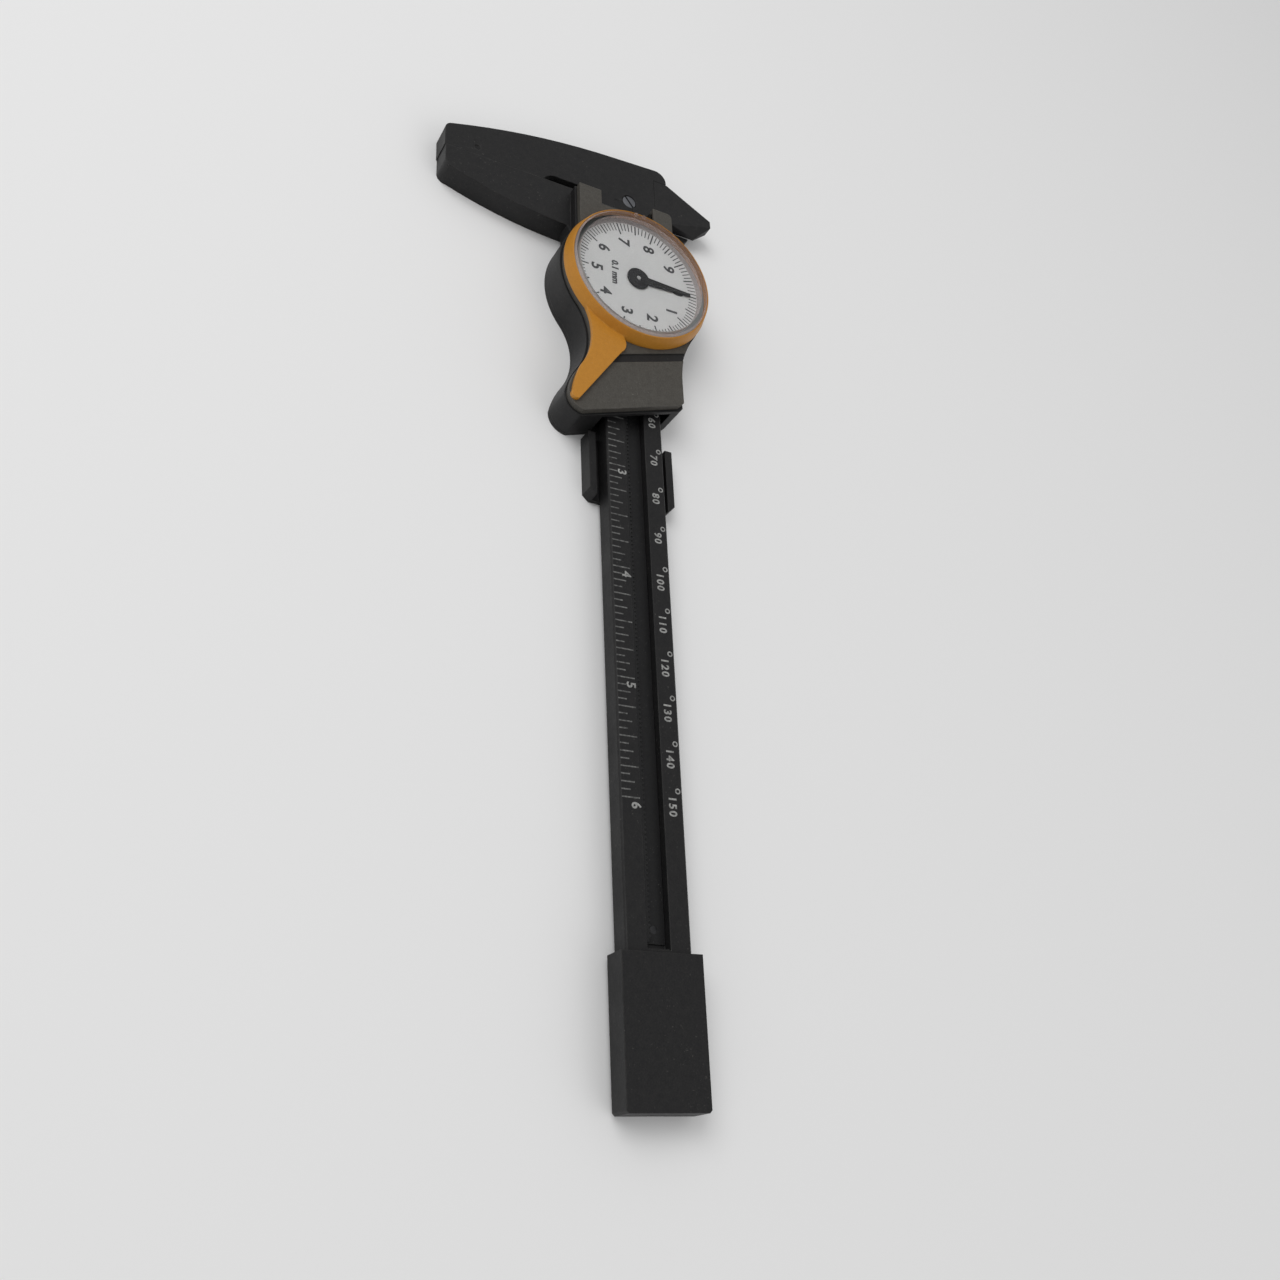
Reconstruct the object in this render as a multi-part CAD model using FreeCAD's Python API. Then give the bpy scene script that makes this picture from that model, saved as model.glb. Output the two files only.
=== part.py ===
import FreeCAD, Part
import math
import os

# Dial caliper, millimetres. X runs along the beam from the head to the foot, Y points to the
# inside jaws, Z points up from the back plane. The origin is where the jaws close, on the back.

V = FreeCAD.Vector

# Cutting shapes run past what they cut, and shapes that are fused run into each other
cut_margin = 1.0
fuse_overlap = 0.1

# Beam, and the stack of heights that it sets
measuring_range = 150.0
beam_width = 14.2
beam_thickness = 4.5
beam_edge_bevel = 0.35
back_plate_thickness = 1.2
back_gap = 0.3
slide_gap = 0.15
stop_gap = 1.2
press_hole_end = 0.2

# Head and jaws
head_length = 16.1
head_waist = 15.3
head_waist_y = -2.0
head_shoulder_y = 12.7
head_pad_length = 1.2
head_pad_half = 6.0
head_corner = 3.0
jaw_reach = 46.5
jaw_tip_width = 6.9
jaw_tip_corner = 2.3
fixed_tip_corner_y = 1.4
fixed_jaw_bulge = 1.35
moving_jaw_tip_width = 6.5
moving_jaw_tip_gap = 0.2
moving_jaw_root_width = 12.1
moving_jaw_bulge = 0.95
jaw_root_y = 15.6
jaw_root_flare = 2.6
jaw_root_flare_y = 14.4
jaw_root_end_y = 11.6
jaw_relief_depth = 1.9
jaw_relief_start = 7.4
jaw_relief_end = 21.5
jaw_relief_run = 4.0
mould_mark_x = -2.3
mould_mark_y = -38.5
mould_mark_r = 0.8
mould_mark_depth = 0.25
inside_reach = 25.3
inside_edge_reach = 21.4
inside_tip_width = 3.3
inside_tip_flat = 2.1
inside_knife_drop = 2.1
inside_shoulder = 13.4
moving_inside_width = 12.4
moving_inside_corner_y = 12.9
moving_inside_middle = 9.4
inside_middle_y = 18.2
inside_root_reach = 5.6
fixed_inside_width = 6.2
fixed_inside_reach = 20.0
fixed_inside_tip = 0.5
fixed_inside_bulge = 0.6
inside_layer_gap = 0.15
inside_thickness = 1.8
inside_root_y = 9.0
inside_root_gap = 0.1
inside_side_gap = 0.6

# Rack and pinion: ten teeth at one millimetre make ten millimetres to a turn of the pointer
rack_pitch = 1.0
pinion_teeth = 10
rack_addendum_share = 0.55
pinion_addendum_share = 0.8
dedendum_share = 0.9
pinion_dedendum_share = 0.8
pressure_angle = 20.0
tooth_backlash = 0.16
groove_half = 2.5
groove_depth = 2.2
groove_end_wall = 0.6
rack_base_height = 0.35
rack_side_gap = 0.1
rack_rib_height = 1.45
rack_rib_start = 2.0
rack_head_inset = 1.6
rack_block_end = 1.4
rack_block_below_top = 0.04
rack_screw_inset = 2.4
rack_screw_y = 1.7
rack_screw_head_r = 1.75
rack_screw_head_gap = 0.15
rack_eye_gap = 0.05
rack_screw_shank_r = 0.8
rack_screw_drop = 1.6
rack_screw_slot = 0.5
rack_screw_slot_depth = 0.6
rack_screw_slot_deg = 35.0
rack_screw_below_top = 0.1
rack_rivet_r = 0.8
rack_rivet_from_end = 4.7
rack_rivet_sink = 0.02
rack_end_inset = 2.0

# Foot
foot_length = 28.2
foot_width = 17.4
foot_step = 1.2
foot_corner = 0.5
tenon_length = 15.0
tenon_half = 4.0
tenon_thickness = 2.0
foot_pin_r = 0.8
foot_pin_inset = 7.8
foot_pin_y = 2.8
foot_pin_cover = 1.0

# Depth rod
rod_width = 3.0
rod_thickness = 1.05
rod_gap = 0.15
rod_start = 34.0
rod_seat_length = 10.0
rod_rivet_r = 0.7
rod_rivet_cover = 0.2
rod_rivet_sink = 0.05
rod_slot_lead = 4.0

# Slider body
frame_front = 1.6
guide_length = 29.4
body_side = 11.6
body_front_side = 14.6
body_rear = 67.6
body_front_corner = 1.2
rear_slant = 8.4
rear_corner = 1.0
rear_channel_gap = 0.15
roof_over_foot = 1.0
waist_x = 46.5
waist_y = 12.75
hook_x = 62.6
hook_y = 18.6
hook_start_x = 55.5
hook_start_y = 15.6
hook_rear_y = 14.4
hook_bulge = 0.35
side_beyond_bezel = 0.2
far_hollow_front = 10.0
far_hollow_rear = 27.5
dial_side_end_deg = -57.0
neck_half = 6.8
tail_gap = 7.0
neck_overlap = 6.0
tail_length = 16.0
tail_wall = 1.75
tail_wall_height = 2.8
tail_chamfer = 1.4
notch_low_y = -8.3
notch_high_y = 5.9
notch_depth = 4.3
notch_lip = 0.2

# Cover
cover_inset = 0.5
cover_wall = 1.0
cover_space = 0.9
cover_top = 0.7
cover_groove_width = 2.3
cover_groove_low_y = -7.5
cover_groove_ahead = 15.7
rib_gap = 0.1
rib_below_cover = 0.3

# Dial
dial_x = 26.5
bezel_top_radius = 18.0
bezel_flare = 0.8
bezel_height = 3.4
bezel_lip = 0.3
bezel_foot_height = 0.6
bezel_edge_bevel = 0.2
bezel_ledge_height = 0.3
dial_running_gap = 0.08
dial_lift = 0.05
dial_face_thickness = 0.3
crystal_rim = 1.5
dial_hole_gap = 0.5
crystal_height = 3.1
crystal_thickness = 0.6
crystal_edge_bevel = 0.5
nub_radius = 0.45
nub_height = 0.3
nub_inset = 0.75
nub_spread_deg = 7.2
nub_direction_deg = 180.5
pointer_lift = 0.2
pointer_thickness = 0.4
pointer_hub_radius = 2.85
pointer_length = 14.1
pointer_root_width = 2.3
pointer_tip_width = 0.75
pointer_bore_radius = 0.5

# Yellow tail of the bezel. Its round tip passes three points, and so does its inner corner,
# measured from the rearmost point of the bezel
tail_raise = 1.0
tail_edge_inset = 0.3
tail_rim_inset = 0.4
tail_rim_low_deg = -112.0
tail_rim_leave_deg = -61.0
tail_rim_high_deg = -14.0
tail_root = 3.0
tail_tip_points = ((63.3, -17.7), (65.1, -17.2), (64.9, -16.0))
tail_inner_offsets = ((3.9, -5.15), (1.9, -3.95), (0.0, -4.25))

# Movement
staff_radius = 0.65
staff_above_bridge = 0.2
staff_end_radius = 0.5
staff_above_pointer = 0.1
pinion_lift = 0.05
pinion_below_roof = 0.5
pinion_overhang = 0.1
running_gap = 0.05
bush_radius = 1.6
bridge_radius = 9.0
bridge_thickness = 0.5
bridge_gap = 0.3
bridge_rise = 0.9
pillar_radius = 1.3
pillar_circle = 7.2
pillar_angles = (100.0, 180.0, 250.0)
bridge_screw_r = 0.55
bridge_screw_head_r = 1.0
bridge_screw_head = 0.25
bridge_screw_slot = 0.24
bridge_screw_slot_depth = 0.12
bridge_screw_depth = 1.0
wheel_teeth = 50
wheel_thickness = 0.25
wheel_lift = 0.2
wheel_hub_radius = 1.3
wheel_end_gap = 0.1
wheel_hole_count = 5
wheel_hole_circle = 4.6
wheel_hole_radius = 1.5
wheel_direction_steps = 2
post_radius = 0.6
post_depth = 0.7
post_end_gap = 0.05
hairspring_turns = 5
hairspring_steps = 16
hairspring_first = 1.75
hairspring_pitch = 0.75
hairspring_width = 0.16
hairspring_height = 0.2
stud_radius = 0.4

# Brake strip in the thumb side of the slider
gib_start = 7.0
gib_length = 20.0
gib_thickness = 0.7
gib_height = 2.6
gib_low = 2.3
gib_spring_bow = 0.6
gib_spring_thickness = 0.15
gib_spring_end = 2.0
gib_spring_gap = 0.02
gib_spring_side = 0.3

# Back plate screws
plate_screw_r = 0.6
plate_screw_head_r = 0.9
plate_screw_head = 0.5
plate_screw_sink = 0.05
plate_screw_slot = 0.3
plate_screw_slot_depth = 0.25
plate_screw_outward = 1.0
plate_screw_reach = 3.0
plate_screw_front_x = 8.0
plate_screw_rear_x = 54.0

# Heights
beam_bottom = back_plate_thickness + back_gap
beam_top = beam_bottom + beam_thickness
groove_floor = beam_top - groove_depth
rack_base_top = groove_floor + rack_base_height
foot_top = beam_top + foot_step
guide_roof = beam_top + slide_gap
rear_roof = foot_top + slide_gap + rear_channel_gap
frame_top = rear_roof + roof_over_foot
cover_ceiling = frame_top + cover_space
cover_upper = cover_ceiling + cover_top
bezel_ledge = cover_upper + bezel_ledge_height
bezel_upper = cover_upper + bezel_height
face_bottom = bezel_ledge + dial_lift
face_top = face_bottom + dial_face_thickness
crystal_top = face_top + crystal_height
crystal_under = crystal_top - crystal_thickness
pointer_bottom = face_top + pointer_lift
pointer_top = pointer_bottom + pointer_thickness
bridge_bottom = frame_top + bridge_rise
bridge_top = bridge_bottom + bridge_thickness
wheel_bottom = frame_top + wheel_lift
wheel_top = wheel_bottom + wheel_thickness
rod_bottom = beam_bottom + rod_gap
rod_top = rod_bottom + rod_thickness
rod_groove_top = rod_top + rod_gap
tenon_bottom = rod_groove_top + tenon_thickness / 4
tenon_top = tenon_bottom + tenon_thickness
inside_layer_top = back_plate_thickness + inside_thickness
inside_upper_bottom = inside_layer_top + inside_layer_gap

# Lengths along and across the beam
rack_eye_radius = rack_screw_head_r + rack_screw_head_gap
beam_half = beam_width / 2
guide_half = beam_half + slide_gap
guide_end = frame_front + guide_length
foot_start = guide_end + measuring_range + stop_gap
foot_end = foot_start + foot_length
foot_half = foot_width / 2
rear_half = foot_half + rear_channel_gap
groove_end = foot_start - groove_end_wall
rack_end = foot_start - rack_end_inset
rack_rivet_x = foot_start - rack_rivet_from_end
tail_start = body_rear
tail_end = tail_start + tail_length
tail_half = rear_half + tail_wall
rod_rivet_x = tail_start + tail_length / 2

bezel_base_radius = bezel_top_radius + bezel_flare
dial_side_radius = bezel_base_radius + side_beyond_bezel
face_radius = bezel_top_radius - bezel_lip - dial_running_gap
dial_view_radius = face_radius - crystal_rim

# Gearing
module = rack_pitch / math.pi
pinion_pitch_radius = pinion_teeth * module / 2
pinion_outer = pinion_pitch_radius + pinion_addendum_share * module
wheel_pitch_radius = wheel_teeth * module / 2
wheel_distance = pinion_pitch_radius + wheel_pitch_radius
pinion_phase = -math.pi / 2
wheel_direction = pinion_phase + wheel_direction_steps * 2 * math.pi / pinion_teeth
wheel_x = dial_x + wheel_distance * math.cos(wheel_direction)
wheel_y = wheel_distance * math.sin(wheel_direction)
tooth_width = rack_pitch / 2 - tooth_backlash / 2
pinion_bottom = rack_base_top + rack_side_gap + pinion_lift
pinion_height = guide_roof - pinion_bottom - pinion_below_roof


def box(x0, x1, y0, y1, z0, z1):
    return Part.makeBox(x1 - x0, y1 - y0, z1 - z0, V(x0, y0, z0))


def rod(radius, x, y, z0, z1):
    return Part.makeCylinder(radius, z1 - z0, V(x, y, z0), V(0, 0, 1))


def prism(points, z0, z1):
    corners = [V(x, y, z0) for x, y in points]
    return Part.Face(Part.makePolygon(corners + corners[:1])).extrude(V(0, 0, z1 - z0))


def along_beam(points, x0, x1):
    corners = [V(x0, y, z) for y, z in points]
    return Part.Face(Part.makePolygon(corners + corners[:1])).extrude(V(x1 - x0, 0, 0))


def outline(start, steps, z0, z1):
    # Each step is a line to (x, y), or an arc through one point to the next: ((x, y), (x, y))
    edges = []
    here = start
    for step in steps:
        if isinstance(step[0], tuple):
            through, there = step
            edges.append(Part.Arc(V(here[0], here[1], z0), V(through[0], through[1], z0),
                                  V(there[0], there[1], z0)).toShape())
        else:
            there = step
            edges.append(Part.makeLine(V(here[0], here[1], z0), V(there[0], there[1], z0)))
        here = there
    return Part.Face(Part.Wire(edges)).extrude(V(0, 0, z1 - z0))


def rounded(x, y, before, after):
    # The line and the arc that round the corner at x, y between two offsets from it
    share = 1 - math.cos(math.radians(45))
    through = (x + share * (before[0] + after[0]), y + share * (before[1] + after[1]))
    return [(x + before[0], y + before[1]), (through, (x + after[0], y + after[1]))]


def turned(profile, x, y):
    # Revolves a radius and height profile about the upright axis at x, y
    corners = [V(x + r, y, z) for r, z in profile]
    face = Part.Face(Part.makePolygon(corners + corners[:1]))
    return face.revolve(V(x, y, 0), V(0, 0, 1), 360)


def on_circle(x, y, radius, angle):
    return (x + radius * math.cos(angle), y + radius * math.sin(angle))


def involute(angle):
    return math.tan(angle) - angle


def gear_profile(teeth, x, y, addendum, dedendum, phase):
    pitch_radius = teeth * module / 2
    base_radius = pitch_radius * math.cos(math.radians(pressure_angle))
    outer = pitch_radius + addendum
    root = pitch_radius - dedendum
    low = max(base_radius, root)
    half_at_base = tooth_width / 2 / pitch_radius + involute(math.radians(pressure_angle))
    flank = []
    flank_steps = 3
    for i in range(flank_steps + 1):
        radius = low + (outer - low) * i / flank_steps
        flank.append((radius, half_at_base - involute(math.acos(min(1.0, base_radius / radius)))))
    points = []
    for k in range(teeth):
        middle = phase + k * 2 * math.pi / teeth
        if root < low:
            points.append(on_circle(x, y, root, middle - flank[0][1]))
        for radius, half in flank:
            points.append(on_circle(x, y, radius, middle - half))
        for radius, half in reversed(flank):
            points.append(on_circle(x, y, radius, middle + half))
        if root < low:
            points.append(on_circle(x, y, root, middle + flank[0][1]))
    return points


def far_hollow(side_y, radius, hollow, direction):
    # The tangent arc between the straight far side and the round under the dial: its point on
    # the side, its middle and its point on the round
    reach = math.sqrt((radius + hollow) ** 2 - (side_y + hollow) ** 2)
    x = dial_x + direction * reach
    y = side_y + hollow
    inward = math.atan2(-y, dial_x - x)
    middle = on_circle(x, y, hollow, (inward - math.pi / 2) / 2)
    return (x, side_y), middle, on_circle(x, y, hollow, inward)


def body_path(inset):
    # The slider's outline seen from above, from the front corner on the thumb side
    radius = dial_side_radius - inset
    front_y = -(body_front_side - inset)
    side_y = body_side - inset
    low_y = -(hook_y - inset)
    rear_x = body_rear - inset
    start_x = dial_x - math.sqrt(radius ** 2 - front_y ** 2)
    end = on_circle(dial_x, 0, radius, math.radians(dial_side_end_deg))
    hook_middle = ((hook_start_x + hook_x) / 2, (low_y - hook_start_y) / 2 - hook_bulge)
    rear_side, rear_middle, rear_round = far_hollow(side_y, radius, far_hollow_rear + inset, 1)
    front_side, front_middle, front_round = far_hollow(side_y, radius, far_hollow_front + inset, -1)
    return (frame_front, front_y), [
        (start_x, front_y),
        ((dial_x, -radius), end),
        ((waist_x, -(waist_y - inset)), (hook_start_x, -(hook_start_y - inset))),
        (hook_middle, (hook_x, low_y)),
        rounded(rear_x, low_y, (hook_x - rear_x, 0), (0, -hook_rear_y - low_y))[1],
        (rear_x - rear_slant, side_y - rear_corner),
        (rear_x - rear_slant - rear_corner, side_y),
        rear_side,
        (rear_middle, rear_round),
        ((dial_x, radius), front_round),
        (front_middle, front_side),
    ] + rounded(frame_front, side_y, (body_front_corner, 0), (0, -body_front_corner)) + [
        (frame_front, front_y),
    ]


def beam():
    section = [(-beam_half, beam_bottom), (beam_half, beam_bottom),
               (beam_half, beam_top - beam_edge_bevel), (beam_half - beam_edge_bevel, beam_top),
               (-beam_half + beam_edge_bevel, beam_top), (-beam_half, beam_top - beam_edge_bevel)]
    bar = along_beam(section, -cut_margin, foot_start)
    tip_x = -jaw_tip_width
    low_y = -jaw_reach
    tip_end_y = low_y + fixed_tip_corner_y
    middle = ((tip_x - head_waist) / 2 - fixed_jaw_bulge, (low_y + head_waist_y) / 2)
    head = outline((0, low_y), [
        (0, head_shoulder_y),
        *rounded(-head_length, head_shoulder_y, (head_corner, 0), (0, -head_corner)),
        (-head_waist, head_waist_y),
        (middle, (tip_x, tip_end_y)),
        rounded(tip_x, low_y, (0, fixed_tip_corner_y), (jaw_tip_corner, 0))[1],
        (0, low_y),
    ], 0, beam_top)
    head = head.cut(rod(mould_mark_r, mould_mark_x, mould_mark_y, beam_top - mould_mark_depth,
                        beam_top + cut_margin))
    depth = jaw_relief_depth
    relief = outline((-depth, -jaw_relief_start), [
        (cut_margin, -jaw_relief_start),
        (cut_margin, -jaw_relief_end),
        *rounded(-depth, -jaw_relief_end, (depth, 0), (0, jaw_relief_run)),
        (-depth, -jaw_relief_start),
    ], -cut_margin, beam_top + cut_margin)
    over_inside = box(-moving_inside_width - inside_layer_gap, cut_margin, inside_root_y,
                      inside_reach + cut_margin, inside_layer_top, beam_top + cut_margin)
    inside_low_y = body_side + inside_side_gap
    inside_middle = ((fixed_inside_width + fixed_inside_tip) / 2 + fixed_inside_bulge,
                     (inside_low_y + fixed_inside_reach) / 2)
    inside_jaw = outline((-head_corner, inside_root_y), [
        (fixed_inside_width, inside_low_y),
        (inside_middle, (fixed_inside_tip, fixed_inside_reach)),
        (0, fixed_inside_reach),
        (0, inside_shoulder),
        (-head_corner, head_shoulder_y),
        (-head_corner, inside_root_y),
    ], 0, inside_layer_top)
    inside_jaw = inside_jaw.cut(box(0, fixed_inside_width + cut_margin, 0, inside_low_y,
                                    -cut_margin, beam_top))
    pad = box(-cut_margin, head_pad_length, -head_pad_half, head_pad_half, 0, tenon_bottom)
    shape = bar.fuse(head.cut(relief).cut(over_inside)).fuse(inside_jaw).fuse(pad)
    shape = shape.cut(box(-rack_head_inset, groove_end, -groove_half, groove_half,
                          groove_floor, beam_top + cut_margin))
    shape = shape.cut(rod(rack_eye_radius + rack_eye_gap, -rack_screw_inset, rack_screw_y,
                          groove_floor, beam_top + cut_margin))
    shape = shape.cut(box(rod_start - rod_slot_lead, foot_start + cut_margin, -rod_width / 2 - rod_gap,
                          rod_width / 2 + rod_gap, 0, rod_groove_top))
    tenon = box(foot_start - cut_margin, foot_start + tenon_length, -tenon_half, tenon_half,
                tenon_bottom, tenon_top)
    shape = shape.fuse(tenon)
    shape = shape.cut(rod(rack_screw_shank_r, -rack_screw_inset, rack_screw_y,
                          groove_floor - rack_screw_drop, beam_top))
    shape = shape.cut(rod(rack_rivet_r, rack_rivet_x, 0, rod_groove_top - cut_margin, groove_floor))
    for side in (-1, 1):
        shape = shape.cut(rod(foot_pin_r, foot_start + foot_pin_inset, side * foot_pin_y,
                              0, foot_top))
    return shape.removeSplitter()


def rack_strip():
    tip_y = -(pinion_pitch_radius - rack_addendum_share * module)
    root_y = -(pinion_pitch_radius + dedendum_share * module)
    slope = math.tan(math.radians(pressure_angle))
    half_tip = tooth_width / 2 - rack_addendum_share * module * slope
    half_root = tooth_width / 2 + dedendum_share * module * slope
    back_y = -groove_half
    first = math.ceil((rack_rib_start + half_root - dial_x) / rack_pitch)
    last = math.floor((rack_end - half_root - dial_x) / rack_pitch) - 1
    points = [(rack_rib_start, back_y), (rack_end, back_y), (rack_end, root_y)]
    for k in range(last, first - 1, -1):
        middle = dial_x + (k + 0.5) * rack_pitch
        points += [(middle + half_root, root_y), (middle + half_tip, tip_y),
                   (middle - half_tip, tip_y), (middle - half_root, root_y)]
    points.append((rack_rib_start, root_y))
    teeth = prism(points, rack_base_top - fuse_overlap, rack_base_top + rack_rib_height)
    base = box(-rack_head_inset, rack_end, -groove_half, groove_half - rack_side_gap,
               groove_floor, rack_base_top)
    block = box(-rack_head_inset, rack_block_end, -groove_half, groove_half - rack_side_gap,
                groove_floor, beam_top - rack_block_below_top)
    block = block.cut(rod(rack_eye_radius, -rack_screw_inset, rack_screw_y,
                          rack_base_top, beam_top + cut_margin))
    eye = rod(rack_eye_radius, -rack_screw_inset, rack_screw_y, groove_floor, rack_base_top)
    shape = base.fuse(teeth).fuse(block).fuse(eye)
    shape = shape.cut(rod(rack_screw_shank_r, -rack_screw_inset, rack_screw_y,
                          groove_floor - cut_margin, rack_base_top + cut_margin))
    return shape.cut(rod(rack_rivet_r, rack_rivet_x, 0, groove_floor - cut_margin, rack_base_top))


def rack_screw():
    head_top = beam_top - rack_screw_below_top
    head = rod(rack_screw_head_r, -rack_screw_inset, rack_screw_y, rack_base_top, head_top)
    slot = box(-rack_screw_inset - rack_screw_head_r, -rack_screw_inset + rack_screw_head_r,
               rack_screw_y - rack_screw_slot / 2, rack_screw_y + rack_screw_slot / 2,
               head_top - rack_screw_slot_depth, head_top + cut_margin)
    slot.rotate(V(-rack_screw_inset, rack_screw_y, 0), V(0, 0, 1), rack_screw_slot_deg)
    shank = rod(rack_screw_shank_r, -rack_screw_inset, rack_screw_y,
                groove_floor - rack_screw_drop, rack_base_top + fuse_overlap)
    return head.cut(slot).fuse(shank)


def rack_rivet():
    return rod(rack_rivet_r, rack_rivet_x, 0, rod_groove_top,
               rack_base_top - rack_rivet_sink)


def end_foot():
    block = prism([(foot_start, -foot_half), (foot_end - foot_corner, -foot_half),
                   (foot_end, -foot_half + foot_corner), (foot_end, foot_half - foot_corner),
                   (foot_end - foot_corner, foot_half), (foot_start, foot_half)],
                  beam_bottom, foot_top)
    block = block.cut(box(foot_start - cut_margin, foot_start + tenon_length, -tenon_half, tenon_half,
                          tenon_bottom, tenon_top))
    block = block.cut(box(foot_start - cut_margin, foot_end + cut_margin, -rod_width / 2 - rod_gap,
                          rod_width / 2 + rod_gap, 0, rod_groove_top))
    for side in (-1, 1):
        block = block.cut(rod(foot_pin_r, foot_start + foot_pin_inset, side * foot_pin_y,
                              0, foot_top - foot_pin_cover))
    return block


def foot_pins():
    pins = [rod(foot_pin_r, foot_start + foot_pin_inset, side * foot_pin_y,
                beam_bottom + press_hole_end, foot_top - foot_pin_cover) for side in (-1, 1)]
    return Part.makeCompound(pins)


def depth_rod():
    blade = box(rod_start, foot_end, -rod_width / 2, rod_width / 2, rod_bottom, rod_top)
    seat = box(rod_rivet_x - rod_seat_length / 2, rod_rivet_x + rod_seat_length / 2,
               -rod_width / 2, rod_width / 2, back_plate_thickness, rod_bottom + fuse_overlap)
    rivet_hole = rod(rod_rivet_r, rod_rivet_x, 0, 0, rod_top - rod_rivet_cover)
    return blade.fuse(seat).cut(rivet_hole).removeSplitter()


def depth_rod_rivet():
    return rod(rod_rivet_r, rod_rivet_x, 0, rod_rivet_sink, rod_top - rod_rivet_cover)


def moving_jaw(root_points, high_y, z0, z1):
    # The moving outside jaw from its measuring face round the tip to the given root
    tip = moving_jaw_tip_width
    root = moving_jaw_root_width
    tip_y = -jaw_reach + moving_jaw_tip_gap
    middle = ((tip + root) / 2 + moving_jaw_bulge, -(jaw_reach + body_front_side) / 2)
    return outline((0, high_y), [
        (0, tip_y),
        *rounded(tip, tip_y, (-jaw_tip_corner, 0), (0, jaw_tip_corner)),
        (middle, (root, -jaw_root_y)),
    ] + root_points + [(0, high_y)], z0, z1)


def moving_inside_jaw():
    # Its measuring edge is at X = 0 and a bevel narrows the top towards the tip
    low_y = inside_root_y + inside_root_gap
    blade = prism([(0, low_y), (-moving_inside_width, low_y),
                   (-moving_inside_width, moving_inside_corner_y),
                   (-moving_inside_middle, inside_middle_y),
                   (-inside_tip_width - inside_tip_flat, inside_reach),
                   (-inside_tip_width, inside_reach), (0, inside_edge_reach)],
                  inside_upper_bottom, beam_top)
    top_low = V(0, inside_shoulder, beam_top)
    top_high = V(-inside_tip_width, inside_reach, beam_top)
    knife = V(0, inside_edge_reach, beam_top - inside_knife_drop)
    normal = (knife - top_low).cross(top_high - top_low)
    size = 2 * inside_reach
    bevel = Part.makeBox(size, size, size, V(-size / 2, -size / 2, 0))
    bevel.Placement = FreeCAD.Placement(top_low, FreeCAD.Rotation(V(0, 0, 1), normal))
    root = prism([(-cut_margin, low_y), (inside_root_reach, low_y),
                  (inside_root_reach, body_side - fuse_overlap), (0, inside_shoulder),
                  (-cut_margin, inside_shoulder)], inside_upper_bottom, beam_top)
    return blade.cut(bevel).fuse(root)


def groove_outline(gap):
    # The slanted groove across the cover, narrowed by a gap on both sides
    slant = rear_slant / (body_side - rear_corner + hook_rear_y)
    high_y = dial_side_radius
    high_x = body_rear - rear_slant - cover_groove_ahead - slant * (high_y - body_side)
    low_x = high_x + slant * (high_y - cover_groove_low_y)
    return [(high_x + gap, high_y), (high_x + cover_groove_width - gap, high_y),
            (low_x + cover_groove_width - gap, cover_groove_low_y + gap),
            (low_x + gap, cover_groove_low_y + gap)]


def cover_rib():
    # The slider's own plastic shows as a dark band in the cover's groove
    rib = prism(groove_outline(rib_gap), frame_top - fuse_overlap, cover_upper - rib_below_cover)
    start, steps = body_path(cover_inset)
    return rib.common(outline(start, steps, 0, cover_upper))


def slider_frame():
    start, steps = body_path(0)
    body = outline(start, steps, back_plate_thickness, frame_top)
    flare_x = moving_jaw_root_width + jaw_root_flare
    jaw = moving_jaw([(flare_x, -jaw_root_flare_y), (flare_x, -jaw_root_end_y)],
                     -jaw_root_end_y, back_plate_thickness, beam_top)
    low_y = -body_front_side - slide_gap
    jaw_foot = moving_jaw([(moving_jaw_root_width, low_y)], low_y, 0, back_plate_thickness)
    shape = body.fuse(jaw).fuse(jaw_foot).fuse(moving_inside_jaw()).fuse(cover_rib())
    shape = shape.cut(box(-cut_margin, guide_end, -guide_half, guide_half, 0, guide_roof))
    shape = shape.cut(box(guide_end, body_rear + cut_margin, -rear_half, rear_half, 0, rear_roof))
    bevel = [(frame_front - cut_margin, guide_roof + notch_lip), (frame_front, guide_roof + notch_lip),
             (frame_front + notch_depth, frame_top), (frame_front + notch_depth, frame_top + cut_margin),
             (frame_front - cut_margin, frame_top + cut_margin)]
    corners = [V(x, notch_low_y, z) for x, z in bevel]
    wedge = Part.Face(Part.makePolygon(corners + corners[:1])).extrude(
        V(0, notch_high_y - notch_low_y, 0))
    shape = shape.cut(wedge)
    shape = shape.cut(rod(bush_radius, dial_x, 0, guide_roof - cut_margin, frame_top + cut_margin))
    shape = shape.cut(rod(post_radius, wheel_x, wheel_y, frame_top - post_depth, frame_top + cut_margin))
    for angle in pillar_angles:
        x, y = on_circle(dial_x, 0, pillar_circle, math.radians(angle))
        shape = shape.fuse(rod(pillar_radius, x, y, frame_top - fuse_overlap, bridge_bottom))
        shape = shape.cut(rod(bridge_screw_r, x, y, bridge_bottom - bridge_screw_depth,
                              bridge_bottom + cut_margin))
    shape = shape.cut(gib_pocket())
    for x, y in plate_screw_places():
        shape = shape.cut(rod(plate_screw_r, x, y, 0, back_plate_thickness + plate_screw_reach))
    return shape.removeSplitter()


def gib_pocket():
    depth = gib_thickness + gib_spring_bow + gib_spring_thickness + slide_gap
    return box(gib_start - slide_gap, gib_start + gib_length + slide_gap, -guide_half - depth,
               -guide_half + fuse_overlap, gib_low - slide_gap, gib_low + gib_height + slide_gap)


def gib_strip():
    return box(gib_start, gib_start + gib_length, -beam_half - gib_thickness - slide_gap / 2,
               -beam_half - slide_gap / 2, gib_low, gib_low + gib_height)


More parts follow.
